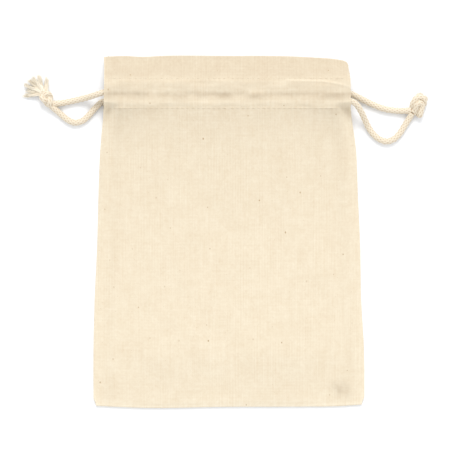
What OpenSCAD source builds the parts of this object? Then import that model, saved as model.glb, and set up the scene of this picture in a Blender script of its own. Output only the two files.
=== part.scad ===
// Flat cotton gift sack with two drawcords, lying on its back.
// Millimetres. X runs across the sack, Y from the bottom fold to the mouth, Z up from the
// surface that it lies on. The origin is under the middle of the cloth.

/* [Sack] */
// Width across the bottom fold
bottom_w = 151; // [148:1:154]
// Width across the casing and the mouth
mouth_w = 138.6; // [138:0.2:140]
// Height from the bottom fold to the mouth edge
sack_h = 196; // [190:1:200]
// Thickness of one layer of cloth
cloth_t = 0.45; // [0.4:0.01:0.45]

/* [Body] */
// Height of the space inside, over most of the sack
body_rise = 6.2; // [6:0.1:7]
// How far the side seam allowances reach inwards
allowance_w = 6.5; // [5:0.5:8]

/* [Casing] */
// Depth of the header, from the upper stitch row to the mouth edge
header_h = 14; // [13:0.5:15]
// Width of the cord tunnel between its two stitch rows
tunnel_w = 14.4; // [14:0.2:15]
// Clear height inside the cord tunnel
tunnel_clear = 4; // [4:0.05:4.1]
// Gap between the front and back casings
mouth_gap = 4.4; // [4.3:0.05:4.5]
// Depth of the hem below the tunnel
hem_w = 3.1; // [2.5:0.1:3.5]
// Length of facing cut back at each end of a tunnel
slit_l = 8.8; // [8.8:0.1:9.4]
// Width of the turned-in side edges of the headers
side_hem_w = 7; // [5:0.5:8]

/* [Cords] */
// Diameter of the braided drawcord
cord_d = 3.4; // [3:0.1:3.4]

/* [Stitching] */
// Diameter of the sewing thread
thread_d = 0.36; // [0.3:0.02:0.4]
// Length of one stitch
stitch_l = 2.3; // [2:0.1:2.6]
// Distance from stitch to stitch
stitch_pitch = 3.2; // [3:0.1:4]

/* [Hidden] */

// Places along the sack
mouth_y = sack_h / 2;
bottom_y = -sack_h / 2;
upper_row_y = mouth_y - header_h;
lower_row_y = upper_row_y - tunnel_w;
panel_top_y = lower_row_y - hem_w;
fold_depth = 0.7;
panel_low_y = bottom_y + fold_depth;
tunnel_mid_y = (upper_row_y + lower_row_y) / 2;

// Heights of the two casings
casing_h = tunnel_clear + 2 * cloth_t;
front_z = casing_h + mouth_gap;

// Height at which the front panel meets the outer layer of the casing
top_rise = front_z + cloth_t;

// Steps in curved outlines
roof_steps = 20;
panel_cols = 24;
panel_rows = 14;

// Play that keeps thread and loose layers off the cloth under them
play = 0.02;

// Where the seam allowances lie
allowance_low_y = bottom_y + 12;
allowance_inset = 2.2;
allowance_z = cloth_t + play;
allowance_top = allowance_z + 2 * cloth_t;

// The routes below are drawn for a sack 196 high, and move with its mouth
route_shift = [0, mouth_y - 98, 0];

// Left cord: knot, upper strand, front tunnel, bight at the right, back tunnel, lower strand
LEFT_ROUTE = [
    [-99, 71.6, 3.4], [-94.5, 71.8, 2.1], [-90, 72.6, 1.8], [-85.5, 73.6, 2],
    [-81, 74.6, 3.2], [-77.5, 75.4, 5.6], [-74.2, 76.3, 8.6], [-70.5, 77.4, 11],
    [-65.5, 78.8, 11.7], [-60, 79.6, 11.75],
    [-36, 79.6, 11.75], [-12, 79.6, 11.75], [12, 79.6, 11.75], [36, 79.6, 11.75],
    [60.2, 79.6, 11.75],
    [63.1, 79.1, 11.1], [65.2, 77.9, 9.4], [66, 76.2, 7.1], [65.2, 74.5, 4.8],
    [63.1, 73.3, 3.1], [60.2, 72.8, 2.45],
    [36, 72.8, 2.45], [12, 72.8, 2.45], [-12, 72.8, 2.45], [-36, 72.8, 2.45],
    [-60, 72.8, 2.45], [-66, 73.2, 2.4],
    [-70.5, 72.6, 2.2], [-75, 68.7, 1.9], [-78.5, 64.7, 1.8], [-82, 61.9, 1.8],
    [-86, 61, 1.8], [-90, 62.6, 1.8], [-95, 66.8, 2], [-99.5, 70.6, 3.2]
];

// Right cord: knot, lower strand, front tunnel, bight at the left, back tunnel, upper strand
RIGHT_ROUTE = [
    [102.8, 66.4, 3.2], [100.7, 62.8, 2.1], [98, 58.4, 1.8], [95.4, 54.5, 1.8],
    [92, 51.5, 1.8], [88.2, 50.5, 1.8], [84.4, 51.8, 1.8], [81, 54.6, 1.9],
    [78.2, 58.6, 2.6], [76.2, 62.6, 4.6], [74.3, 66.4, 7.4], [72, 70, 10],
    [69.2, 72.4, 11.5], [64.5, 72.8, 11.75],
    [36, 72.8, 11.75], [12, 72.8, 11.75], [-12, 72.8, 11.75], [-36, 72.8, 11.75],
    [-61.2, 72.8, 11.75],
    [-64.1, 73.3, 11.1], [-66.2, 74.5, 9.4], [-67, 76.2, 7.1], [-66.2, 77.9, 4.8],
    [-64.1, 79.1, 3.1], [-61.2, 79.6, 2.45],
    [-36, 79.6, 2.45], [-12, 79.6, 2.45], [12, 79.6, 2.45], [36, 79.6, 2.45],
    [59, 79.6, 2.45], [64.8, 78.6, 2.4],
    [69.8, 76.5, 2.3], [75, 74, 2], [81.3, 70.9, 1.8], [87.8, 68.6, 1.8],
    [94.4, 67.7, 1.8], [99.2, 67.6, 2.4], [102.6, 68, 3.4]
];

// Knots: a first wrap and a last wrap on one axis
LEFT_KNOT = [[-100.7, 72.6, 3.8], [-102.5, 76.4, 3.8]];
RIGHT_KNOT = [[105.2, 67, 3.8], [104.8, 71.6, 3.8]];
knot_wrap_r = 2.1;

// Yarns that fan out of the left knot in three tufts: where each tuft ends
FRAY_BASE = [-103.3, 78, 3.6];
FRAY_TUFTS = [
    [[-101.9, 86.6, 2.2], [-103.6, 84.8, 4.6]],
    [[-105.4, 87.8, 2.4], [-107.4, 86.4, 4.2], [-109.2, 86, 1.8]],
    [[-110.6, 83.6, 4], [-113.6, 82.8, 1.6], [-112.4, 80.4, 3.2], [-115, 78, 1.2]]
];
TRIM_BASES = [[104.4, 72.4, 3.8], [106.4, 72, 4]];
TRIM_ENDS = [[105.4, 77.2, 3.4], [109, 75.6, 3.6]];

sides = [-1, 1];

// ---- shapes that repeat ----

// A profile in the YZ plane, stretched along X from x0 to x1
module along_x(x0, x1) {
    translate([x0, 0, 0])
        rotate([90, 0, 90])
            linear_extrude(x1 - x0)
                children();
}

// Stands its child, drawn up the Z axis, on the line from p to q
module on_line(p, q) {
    d = q - p;
    translate(p)
        rotate([0, acos(d[2] / norm(d)), atan2(d[1], d[0])])
            children();
}

// One stitch lying along X or Y, its middle at p
module stitch(p, turn = 0, length = stitch_l) {
    translate(p)
        rotate([0, 90, turn])
            cylinder(h = length, d = thread_d, center = true, $fn = 16);
}

// Tunnel roof: half height of a rounded arch, width 2 * half_span, at distance s from its middle
function roof(s, half_span, rise) = rise * sqrt(max(0, 1 - pow(abs(s / half_span), 6)));

function roof_points(half_span, rise, base) = [
    for (i = [roof_steps:-1:0])
        let (s = half_span * cos(180 * i / roof_steps))
        [tunnel_mid_y - s, base + roof(s, half_span, rise)]
];

// Cloth folded back on itself at the mouth, arched over the cords between its two stitch rows
module casing_profile() {
    half_span = tunnel_w / 2;
    fold_y = mouth_y - cloth_t;
    difference() {
        union() {
            translate([panel_top_y, 0])
                square([fold_y - panel_top_y, 2 * cloth_t]);
            translate([fold_y, cloth_t])
                circle(cloth_t, $fn = 32);
            polygon(roof_points(half_span + cloth_t, tunnel_clear + cloth_t, cloth_t));
        }
        polygon(roof_points(half_span, tunnel_clear, cloth_t));
    }
}

// The cords pass between the casings through slits at the ends of the inner layer
module slit_cuts(z, h) {
    inset = 0.8;
    for (side = sides)
        translate([side * (mouth_w / 2 - slit_l / 2), tunnel_mid_y, z + h / 2])
            cube([slit_l + play, tunnel_w - 2 * inset, h], center = true);
}

// Row of stitches across a casing at y, lying on the cloth at z
module casing_stitches(y, z) {
    count = floor((mouth_w - 6) / stitch_pitch);
    for (i = [0:count])
        stitch([(i - count / 2) * stitch_pitch, y, z + play + thread_d / 2]);
}

// Turned-in side edge of a header, its lower face at z
module side_hem(side, z) {
    inset = 0.4;
    translate([side * (mouth_w / 2 - inset - side_hem_w / 2),
               (upper_row_y + mouth_y) / 2 + inset, z + cloth_t / 2])
        cube([side_hem_w, header_h - 4 * inset, cloth_t], center = true);
}

// Half the width of the body at y
function half_w(y) =
    let (v = (panel_top_y - y) / (panel_top_y - bottom_y))
    (mouth_w + (bottom_w - mouth_w) * v) / 2;

// ---- body ----

// Rise of the front panel from the casing (v = 0) to the bottom fold (v = 1)
function rise(v) = body_rise + (top_rise - body_rise) * pow(1 - v, 3);
// Rounded closing of that rise towards the fold, and towards each side seam (u = -1 and 1)
function fold_end(v) = sqrt(max(0, 1 - pow(v, 16)));
function side_end(u, v) = sqrt(max(0, 1 - pow(abs(u), 4 + 6 * pow(1 - v, 4))));

function panel_point(u, v, inset, extra) =
    let (y = panel_top_y - (panel_top_y - panel_low_y - inset) * v)
    [
        (half_w(y) - inset) * u,
        y,
        cloth_t + (rise(v) + extra - cloth_t) * side_end(u, v) * fold_end(v)
    ];

function panel_grid(inset, extra) = [
    for (j = [0:panel_rows])
        for (i = [0:panel_cols])
            panel_point(sin(180 * i / panel_cols - 90), sin(90 * j / panel_rows), inset, extra)
];

module front_panel() {
    n = panel_cols + 1;
    m = panel_rows;
    size = n * (m + 1);
    skin = [for (j = [0:m - 1]) for (i = [0:panel_cols - 1]) j * n + i];
    outside = [for (a = skin) each [[a, a + n + 1, a + n], [a, a + 1, a + n + 1]]];
    inside = [
        for (a = skin)
            each [[size + a, size + a + n, size + a + n + 1], [size + a, size + a + n + 1, size + a + 1]]
    ];
    // Edge of the skin, once round: across the top, down the right, back along the fold, up the left
    edge = concat(
        [for (i = [0:panel_cols - 1]) i],
        [for (j = [0:m - 1]) j * n + panel_cols],
        [for (i = [panel_cols:-1:1]) m * n + i],
        [for (j = [m:-1:1]) j * n]
    );
    rim = [
        for (k = [0:len(edge) - 1])
            let (a = edge[k], b = edge[(k + 1) % len(edge)])
            each [[a, size + b, b], [a, size + a, size + b]]
    ];
    color([0.95, 0.91, 0.8])
        polyhedron(concat(panel_grid(0, cloth_t), panel_grid(cloth_t, 0)),
                   concat(outside, inside, rim));
}

module back_panel() {
    top = half_w(panel_top_y);
    low = half_w(panel_low_y);
    color([0.93, 0.88, 0.77])
        linear_extrude(cloth_t)
            polygon([[-low, panel_low_y], [low, panel_low_y], [top, panel_top_y], [-top, panel_top_y]]);
}

module bottom_fold() {
    fold_r = 0.7;
    color([0.94, 0.9, 0.79])
        along_x(-bottom_w / 2, bottom_w / 2)
            intersection() {
                translate([bottom_y + fold_r, fold_r])
                    circle(fold_r, $fn = 32);
                translate([bottom_y, 0])
                    square([fold_depth, 2 * fold_r]);
            }
}

// ---- casings ----

module front_casing() {
    color([0.94, 0.89, 0.78])
        difference() {
            translate([0, 0, front_z])
                along_x(-mouth_w / 2, mouth_w / 2)
                    casing_profile();
            slit_cuts(front_z - play, cloth_t + 2 * play);
        }
}

module back_casing() {
    color([0.92, 0.87, 0.76])
        difference() {
            along_x(-mouth_w / 2, mouth_w / 2)
                casing_profile();
            slit_cuts(cloth_t, casing_h);
        }
}

module front_side_hem(side) {
    color([0.92, 0.87, 0.76])
        side_hem(side, front_z - cloth_t - play);
}

module back_side_hem(side) {
    color([0.92, 0.87, 0.76])
        side_hem(side, 2 * cloth_t + play);
}

// ---- side seams, inside the sack ----

module seam_allowance(side) {
    outer = [half_w(allowance_low_y), half_w(panel_top_y)] - [allowance_inset, allowance_inset];
    color([0.9, 0.85, 0.74])
        translate([0, 0, allowance_z])
            linear_extrude(2 * cloth_t)
                polygon([
                    [side * outer[0], allowance_low_y],
                    [side * outer[1], panel_top_y],
                    [side * (outer[1] - allowance_w), panel_top_y],
                    [side * (outer[0] - allowance_w), allowance_low_y]
                ]);
}

// Places along a side seam, one stitch apart
function seam_places() = [for (y = [allowance_low_y + 3:stitch_pitch:panel_top_y - 2]) y];

module seam_stitching(side) {
    color([0.97, 0.95, 0.88])
        for (y = seam_places())
            stitch([side * (half_w(y) - allowance_inset - 1), y, allowance_top + play + thread_d / 2], 90);
}

module overlock(side) {
    slant = 35;
    color([0.97, 0.95, 0.88])
        for (y = seam_places())
            stitch([side * (half_w(y) - allowance_inset - allowance_w + 1.2), y,
                    allowance_top + play + thread_d / 2], side * slant);
}

// ---- casing stitching ----

module front_upper_stitching() {
    color([0.98, 0.96, 0.9])
        casing_stitches(upper_row_y + 0.9, front_z + 2 * cloth_t);
}

module front_lower_stitching() {
    color([0.98, 0.96, 0.9])
        casing_stitches(lower_row_y - 1.1, front_z + 2 * cloth_t);
}

module back_upper_stitching() {
    color([0.98, 0.96, 0.9])
        casing_stitches(upper_row_y + 0.9, 2 * cloth_t);
}

module back_lower_stitching() {
    color([0.98, 0.96, 0.9])
        casing_stitches(lower_row_y - 1.1, 2 * cloth_t);
}

// ---- cords ----

tube_sides = 8;

function unit(v) = v / norm(v);

// Direction of a route at its point i
function heading(route, i) =
    unit(route[min(i + 1, len(route) - 1)] - route[max(i - 1, 0)]);

// Each ring's first spoke is the last ring's, turned as little as the bend allows
function spokes(route, i = 0, last = [0, 0, 1]) =
    let (h = heading(route, i), s = unit(last - h * (last * h)))
    i == len(route) - 1 ? [s] : concat([s], spokes(route, i + 1, s));

module tube(route, d) {
    n = tube_sides;
    last = len(route) - 1;
    first_spokes = spokes(route);
    points = [
        for (i = [0:last])
            let (s = first_spokes[i], t = cross(heading(route, i), s))
            for (k = [0:n - 1])
                route[i] + d / 2 * (s * cos(360 * k / n) + t * sin(360 * k / n))
    ];
    walls = [
        for (i = [0:last - 1])
            for (k = [0:n - 1])
                let (a = i * n + k, b = i * n + (k + 1) % n)
                each [[a, a + n, b + n], [a, b + n, b]]
    ];
    start_cap = [for (k = [0:n - 1]) k];
    end_cap = [for (k = [n - 1:-1:0]) last * n + k];
    translate(route_shift)
        polyhedron(points, concat(walls, [start_cap, end_cap]));
}

module left_drawcord() {
    color([0.93, 0.87, 0.73])
        tube(LEFT_ROUTE, cord_d);
}

module right_drawcord() {
    color([0.93, 0.87, 0.73])
        tube(RIGHT_ROUTE, cord_d);
}

// Two wraps of cord round the strands, with the strands between them
module knot(wraps) {
    minor_r = cord_d / 2 - 0.1;
    color([0.92, 0.86, 0.72])
        translate(route_shift) {
            for (p = wraps)
                on_line(p, p + wraps[1] - wraps[0])
                    rotate_extrude($fn = 48)
                        translate([knot_wrap_r, 0])
                            circle(minor_r, $fn = 32);
            on_line(wraps[0], wraps[1])
                translate([0, 0, -1.4])
                    cylinder(h = norm(wraps[1] - wraps[0]) + 2.8, r = knot_wrap_r + 0.4, $fn = 48);
        }
}

module left_knot() {
    knot(LEFT_KNOT);
}

module right_knot() {
    knot(RIGHT_KNOT);
}

module left_frayed_ends() {
    root_r = 1.6;
    tip_r = 0.5;
    color([0.95, 0.92, 0.82])
        translate(route_shift)
            for (tuft = FRAY_TUFTS)
                hull() {
                    translate(FRAY_BASE)
                        sphere(root_r, $fn = 24);
                    for (tip = tuft)
                        translate(tip)
                            sphere(tip_r, $fn = 16);
                }
}

module right_trimmed_ends() {
    color([0.95, 0.92, 0.82])
        translate(route_shift)
            for (i = [0, 1])
                on_line(TRIM_BASES[i], TRIM_ENDS[i]) {
                    h = norm(TRIM_ENDS[i] - TRIM_BASES[i]);
                    cylinder(h = h, d = cord_d, $fn = 32);
                    translate([0, 0, h])
                        sphere(d = cord_d, $fn = 32);
                }
}

front_panel();
back_panel();
bottom_fold();
front_casing();
back_casing();
front_side_hem(-1);  // front_left_side_hem
front_side_hem(1);  // front_right_side_hem
back_side_hem(-1);  // back_left_side_hem
back_side_hem(1);  // back_right_side_hem
seam_allowance(-1);  // left_seam_allowance
seam_allowance(1);  // right_seam_allowance
front_upper_stitching();
front_lower_stitching();
back_upper_stitching();
back_lower_stitching();
seam_stitching(-1);  // left_seam_stitching
seam_stitching(1);  // right_seam_stitching
overlock(-1);  // left_overlock
overlock(1);  // right_overlock
left_drawcord();
right_drawcord();
left_knot();
right_knot();
left_frayed_ends();
right_trimmed_ends();
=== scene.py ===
import math

import bpy
import numpy as np
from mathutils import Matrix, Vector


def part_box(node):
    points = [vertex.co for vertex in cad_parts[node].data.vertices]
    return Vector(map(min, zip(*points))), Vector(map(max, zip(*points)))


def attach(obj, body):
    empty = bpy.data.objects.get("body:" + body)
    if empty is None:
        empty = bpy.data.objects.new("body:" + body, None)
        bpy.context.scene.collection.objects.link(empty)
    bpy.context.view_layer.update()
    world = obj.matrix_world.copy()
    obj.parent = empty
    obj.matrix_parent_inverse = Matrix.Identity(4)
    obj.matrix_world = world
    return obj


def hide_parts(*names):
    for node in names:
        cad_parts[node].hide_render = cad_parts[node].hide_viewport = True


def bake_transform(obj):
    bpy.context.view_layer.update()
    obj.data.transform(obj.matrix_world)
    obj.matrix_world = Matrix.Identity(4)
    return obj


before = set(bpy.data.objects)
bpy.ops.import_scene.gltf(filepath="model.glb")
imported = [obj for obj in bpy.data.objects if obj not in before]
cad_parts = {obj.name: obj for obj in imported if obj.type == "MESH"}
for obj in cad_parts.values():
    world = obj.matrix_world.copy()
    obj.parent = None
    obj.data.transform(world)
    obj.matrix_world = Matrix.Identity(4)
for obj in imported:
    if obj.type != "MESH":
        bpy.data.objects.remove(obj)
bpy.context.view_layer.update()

# Lengths in this script are millimetres until mesh_from() turns them into metres.
MM = 0.001


# ------------------------ sizes from the frame

def corners(node):
    low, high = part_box(node)
    return np.array(low) / MM, np.array(high) / MM


half_mouth, mouth_y, _ = corners("front_casing")[1]
top_y = round(mouth_y)
low_y = round(corners("bottom_fold")[0][1])
join_y = corners("front_lower_stitching")[1][1]
stitch_upper_y = corners("front_upper_stitching")[0][1] + 0.6

# Thickness of the cloth and of a cord, radius of the fold at the mouth, and stitch to stitch
cloth_t = 0.42
fold_r = 0.3
stitch_pitch = 2.9


# ------------------------ camera

VIEW_MIDDLE = (-0.0014, 0.0032)
VIEW_WIDTH = 0.2531
CAMERA_HEIGHT = 2.0
SENSOR = 36.0


def make_camera():
    data = bpy.data.cameras.new("photo_camera")
    data.sensor_width = SENSOR
    data.lens = SENSOR * CAMERA_HEIGHT / VIEW_WIDTH
    data.clip_end = 10.0
    camera = bpy.data.objects.new("photo_camera", data)
    camera.location = (VIEW_MIDDLE[0], VIEW_MIDDLE[1], CAMERA_HEIGHT)
    bpy.context.scene.collection.objects.link(camera)
    bpy.context.scene.camera = camera


make_camera()


# ------------------------ curves and noise

def smooth_through(points):
    """A function of one number that passes smoothly through (where, value) points."""
    at, value = np.array(sorted(points), float).T
    slope = np.gradient(value, at)

    def read(x):
        x = np.clip(np.asarray(x, float), at[0], at[-1])
        i = np.clip(np.searchsorted(at, x) - 1, 0, len(at) - 2)
        h = at[i + 1] - at[i]
        t = (x - at[i]) / h
        return (
            (2 * t**3 - 3 * t**2 + 1) * value[i]
            + (t**3 - 2 * t**2 + t) * h * slope[i]
            + (3 * t**2 - 2 * t**3) * value[i + 1]
            + (t**3 - t**2) * h * slope[i + 1]
        )

    return read


def smoothstep(low, high, x):
    t = np.clip((np.asarray(x, float) - low) / (high - low), 0, 1)
    return t * t * (3 - 2 * t)


def bump_at(x, middle, width):
    return np.exp(-(((np.asarray(x, float) - middle) / width) ** 2))


NOISE_CELLS = 64


def noise(x, y, seed, x_size, y_size=None):
    """Smooth noise from about -1 to 1, with cells of x_size by y_size millimetres."""
    table = np.random.default_rng(seed).uniform(-1, 1, (NOISE_CELLS, NOISE_CELLS))
    u = np.asarray(x, float) / x_size + 17.3
    v = np.asarray(y, float) / (y_size or x_size) + 31.7
    i, j = np.floor(u).astype(int), np.floor(v).astype(int)
    a, b = u - i, v - j
    a, b = a**3 * (a * (6 * a - 15) + 10), b**3 * (b * (6 * b - 15) + 10)
    n = NOISE_CELLS

    def cell(di, dj):
        return table[(i + di) % n, (j + dj) % n]

    return (
        cell(0, 0) * (1 - a) * (1 - b)
        + cell(1, 0) * a * (1 - b)
        + cell(0, 1) * (1 - a) * b
        + cell(1, 1) * a * b
    )


# ------------------------ meshes

def mesh_from(name, points, faces, attributes=(), sharp=None):
    """A smooth mesh object from points in millimetres. attributes are (name, values per point) pairs, of
    one or three numbers a point. sharp holds the edges, as pairs of points, that stay crisp."""
    mesh = bpy.data.meshes.new(name)
    mesh.from_pydata((np.asarray(points) * MM).tolist(), [], [list(f) for f in faces])
    mesh.polygons.foreach_set("use_smooth", [True] * len(mesh.polygons))
    for title, values in attributes:
        values = np.asarray(values, np.float32)
        if values.ndim == 1:
            mesh.attributes.new(title, "FLOAT", "POINT").data.foreach_set("value", values)
        else:
            layer = mesh.attributes.new(title, "FLOAT_VECTOR", "POINT")
            layer.data.foreach_set("vector", values.ravel())
    if sharp:
        crisp = {frozenset(edge) for edge in sharp}
        flags = [frozenset(edge.vertices) in crisp for edge in mesh.edges]
        mesh.attributes.new("sharp_edge", "BOOLEAN", "EDGE").data.foreach_set("value", flags)
    mesh.validate()
    mesh.update()
    piece = bpy.data.objects.new(name, mesh)
    bpy.context.scene.collection.objects.link(piece)
    return piece


def grid_normals(points, side):
    down = np.gradient(points, axis=0)
    across = np.gradient(points, axis=1)
    normals = np.cross(down, across) * side
    return normals / np.maximum(np.linalg.norm(normals, axis=2, keepdims=True), 1e-9)


def cloth_shell(name, points, side, weave, kept=None):
    """A closed sheet of cloth round a grid of points that lie in the middle of its thickness. Rows run
    away from the mouth and columns away from the middle of the sack, and side is 1 on the right and -1
    on the left. weave holds each point's place on the flat cloth and how dark the cloth is there. kept is
    False where there is no cloth."""
    rows, cols = points.shape[:2]
    kept = np.ones((rows - 1, cols - 1), bool) if kept is None else kept
    lift = grid_normals(points, side) * cloth_t / 2
    places = np.concatenate([(points + lift).reshape(-1, 3), (points - lift).reshape(-1, 3)])
    under = rows * cols
    faces, border = [], {}
    for j, i in zip(*np.nonzero(kept)):
        a, b, c, d = j * cols + i, (j + 1) * cols + i, (j + 1) * cols + i + 1, j * cols + i + 1
        quad = [a, b, c, d] if side > 0 else [a, d, c, b]
        faces.append(quad)
        faces.append([under + k for k in reversed(quad)])
        for p, q in zip(quad, quad[1:] + quad[:1]):
            if (q, p) in border:
                del border[(q, p)]
            else:
                border[(p, q)] = True
    sharp = []
    for p, q in border:
        faces.append([q, p, under + p, under + q])
        sharp += [(p, q), (under + p, under + q)]
    used = np.unique([k for face in faces for k in face])
    renumber = np.full(2 * under, -1)
    renumber[used] = np.arange(len(used))
    faces = [[renumber[k] for k in face] for face in faces]
    sharp = [(renumber[p], renumber[q]) for p, q in sharp]
    flat_weave = np.concatenate([weave.reshape(-1, 3)] * 2)
    return mesh_from(name, places[used], faces, [("weave", flat_weave[used])], sharp)


def unit(v):
    return v / np.maximum(np.linalg.norm(v, axis=-1, keepdims=True), 1e-9)


def frames_along(path):
    """Headings and two spokes for each point of a path, turned as little as its bends allow."""
    heading = unit(np.gradient(path, axis=0))
    start = np.array([0.0, 0, 1]) if abs(heading[0][2]) < 0.9 else np.array([1.0, 0, 0])
    first = np.empty_like(path)
    last = start
    for k, h in enumerate(heading):
        last = unit(last - h * (last @ h))
        first[k] = last
    return heading, first, np.cross(heading, first)


def spline(points, step):
    """A smooth curve through the points, with a point about every step millimetres."""
    p = np.array(points, float)
    chord = np.concatenate([[0], np.cumsum(np.sqrt(np.linalg.norm(np.diff(p, axis=0), axis=1)))])
    slope = np.gradient(p, chord, axis=0)
    found = []
    for k in range(len(p) - 1):
        h = chord[k + 1] - chord[k]
        count = max(2, int(math.ceil(np.linalg.norm(p[k + 1] - p[k]) / step)))
        t = (np.arange(count) / count)[:, None]
        found.append(
            (2 * t**3 - 3 * t**2 + 1) * p[k]
            + (t**3 - 2 * t**2 + t) * h * slope[k]
            + (3 * t**2 - 2 * t**3) * p[k + 1]
            + (t**3 - t**2) * h * slope[k + 1]
        )
    found.append(p[-1:])
    return np.concatenate(found)


def evenly(path, step):
    """The same path with its points the same distance apart."""
    run = np.concatenate([[0], np.cumsum(np.linalg.norm(np.diff(path, axis=0), axis=1))])
    count = max(2, int(round(run[-1] / step)) + 1)
    at = np.linspace(0, run[-1], count)
    return np.stack([np.interp(at, run, path[:, k]) for k in range(3)], axis=1)


def ring_faces(rings, sides, start=0):
    faces = []
    for i in range(rings - 1):
        for k in range(sides):
            a, b = start + i * sides + k, start + i * sides + (k + 1) % sides
            faces.append([a, b, b + sides, a + sides])
    faces.append([start + k for k in reversed(range(sides))])
    faces.append([start + (rings - 1) * sides + k for k in range(sides)])
    return faces


def bundle(name, paths, radii, sides=6, tints=None):
    """Many thin round threads as one mesh. radii holds one radius for each point of each path."""
    places, faces, tint = [], [], []
    turn = 2 * math.pi * np.arange(sides) / sides
    for number, (path, radius) in enumerate(zip(paths, radii)):
        _, first, second = frames_along(path)
        spokes = first[:, None] * np.cos(turn)[:, None] + second[:, None] * np.sin(turn)[:, None]
        rings = path[:, None] + spokes * np.asarray(radius)[:, None, None]
        faces += ring_faces(len(path), sides, sum(map(len, places)))
        places.append(rings.reshape(-1, 3))
        tint += [0.5 if tints is None else tints[number]] * (len(path) * sides)
    return mesh_from(name, np.concatenate(places), faces, [("tint", tint)])


# ------------------------ outline of the cloth

SIDES = {"left": -1, "right": 1}

# (y, half width) of the sack at rest, by side
side_edge = {
    1: smooth_through([
        (-98, 75.8), (-67, 75.6), (-40, 74.1), (-7, 73.4), (20, 72.2), (47, 71.0), (67, 68.3), (85, 67.8),
        (98, 66.9),
    ]),
    -1: smooth_through([
        (-98, 75.3), (-67, 75.3), (-40, 74.7), (-7, 73.2), (20, 72.5), (47, 71.4), (67, 69.7), (85, 69.2),
        (98, 69.6),
    ]),
}
# (x, y) along the mouth, with its worn right corner, and along the bottom
mouth_line = smooth_through([
    (-70, 97.6), (-58, 98), (-48, 97.5), (-38, 98), (0, 98), (30, 97.9), (46, 97.2), (58, 96.4), (62.8, 95.7),
    (65.0, 95.1), (66.1, 94.4), (66.7, 93.4), (67, 92.6),
])
bottom_line = smooth_through([
    (-76, -97.1), (-47, -98.3), (0, -97.7), (40, -97.6), (60, -97.4), (77, -96.3),
])


def from_edge(x, y, side):
    """How far a point lies in from the side of the sack."""
    return side_edge[side](y) - np.abs(x)


def at_mouth(x, y):
    """Where a point of the casing at y ends up, as the mouth edge isn't quite straight."""
    return y + (mouth_line(x) - top_y) * smoothstep(84, top_y, y)


def at_bottom(x, y):
    """The same for the body, which isn't quite straight along the bottom."""
    return join_y + (y - join_y) * (bottom_line(x) - join_y) / (low_y - join_y)


# ------------------------ casings

# The dip between the two cords, and the distance between two layers that lie together
VALLEY_Y = 76.2
LAYER_GAP = 0.46

# (y, height) of the front casing's outer face and of the layer over the cords in the back one
front_profile = smooth_through([
    (66.0, 12.5), (67.0, 12.56), (68.0, 12.68), (69.0, 12.91), (70.0, 13.2), (71.0, 13.48), (71.8, 13.68),
    (72.8, 13.82), (73.8, 13.78), (74.8, 13.64), (75.8, 13.54), (76.6, 13.52), (77.4, 13.57), (78.4, 13.7),
    (79.4, 13.84), (80.4, 13.96), (81.6, 14.02), (82.6, 13.98), (83.6, 13.82), (84.8, 13.5), (86.0, 13.12),
    (87.5, 12.65), (90, 12.1), (98, 11.5),
])
back_profile = smooth_through([
    (66.0, 0.66), (69.0, 0.66), (69.9, 0.9), (70.7, 2.2), (71.4, 3.6), (72.2, 4.3), (72.9, 4.42),
    (74.0, 4.3), (76.2, 4.0), (78.4, 4.3), (79.6, 4.42), (80.6, 4.2), (81.6, 3.1), (82.7, 1.6),
    (83.7, 0.85), (84.7, 0.66), (98, 0.66),
])


def pucker(x, y):
    """How the cloth draws in along the two stitch rows."""
    along = 0.5 + 0.5 * np.cos(2 * math.pi * x / stitch_pitch)
    rows = bump_at(y, join_y, 0.8) + bump_at(y, stitch_upper_y, 0.8)
    beside = bump_at(y, join_y, 2.6) + bump_at(y, stitch_upper_y, 2.6)
    return -0.05 * along * rows + 0.12 * beside * noise(x, y, 11, 3.1, 6)


def drawn_corner(x, y, side):
    """From 0 to 1 towards the corner where the casing is drawn down to the side seam."""
    return np.exp(-((from_edge(x, y, side) / 5.0) ** 2)) * (1 - smoothstep(join_y, join_y + 3.4, y))


def droop(x, y, side):
    """How far the front casing hangs below its level middle."""
    corner = 8.2 * drawn_corner(x, y, side)
    header = 6.6 + 0.5 * noise(x, 0, 12, 31) + 0.25 * noise(x, 0, 13, 9)
    header = header + 0.6 * np.exp(-from_edge(x, y, side) / 9)
    return corner + smoothstep(83.4, 97.6, y) * header


def crease(x, y):
    """A pressed line over the upper right of the front casing, that bends downhill near the side."""
    line_y = 84.2 - 0.03 * (x - 34) - 0.0075 * np.maximum(x - 49, 0) ** 2
    return bump_at(y, line_y, 0.55) * smoothstep(28, 36, x) * (1 - 0.6 * smoothstep(60, 67, x))


def front_outer_z(x, y, side):
    """Height of the outer layer of the front casing, over the cords."""
    tunnel = smoothstep(69.5, 72, y) * (1 - smoothstep(80.5, 84.5, y))
    valley = bump_at(y, VALLEY_Y, 1.7) * (0.5 * noise(x, 0, 14, 9.5) + 0.25 * noise(x, 0, 15, 3.6) - 0.05)
    slack = tunnel * (0.14 * noise(x, y, 16, 6.5, 2.6) + 0.14)
    upper_flank = bump_at(y, 83.2, 1.6) * 0.26 * noise(x, y, 17, 6.2, 4)
    lower_flank = bump_at(y, 70.2, 1.1) * 0.2 * noise(x, y, 18, 5.4, 4)
    level = front_profile(y) - droop(x, y, side) + valley + slack + (upper_flank + lower_flank)
    return level + 0.4 * crease(x, y) + pucker(x, y)


def front_facing_z(x, y, side):
    """Height of its inner layer, under the cords."""
    under_cords = smoothstep(69.3, 71.2, y) * (1 - smoothstep(82.0, 84.8, y))
    flat = 9.48 - droop(x, y, side) + 0.1 * noise(x, y, 19, 14)
    over = np.where(y < join_y, front_body_z(x, np.minimum(y, join_y), side), front_outer_z(x, y, side))
    return flat * under_cords + (over - LAYER_GAP) * (1 - under_cords)


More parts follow.
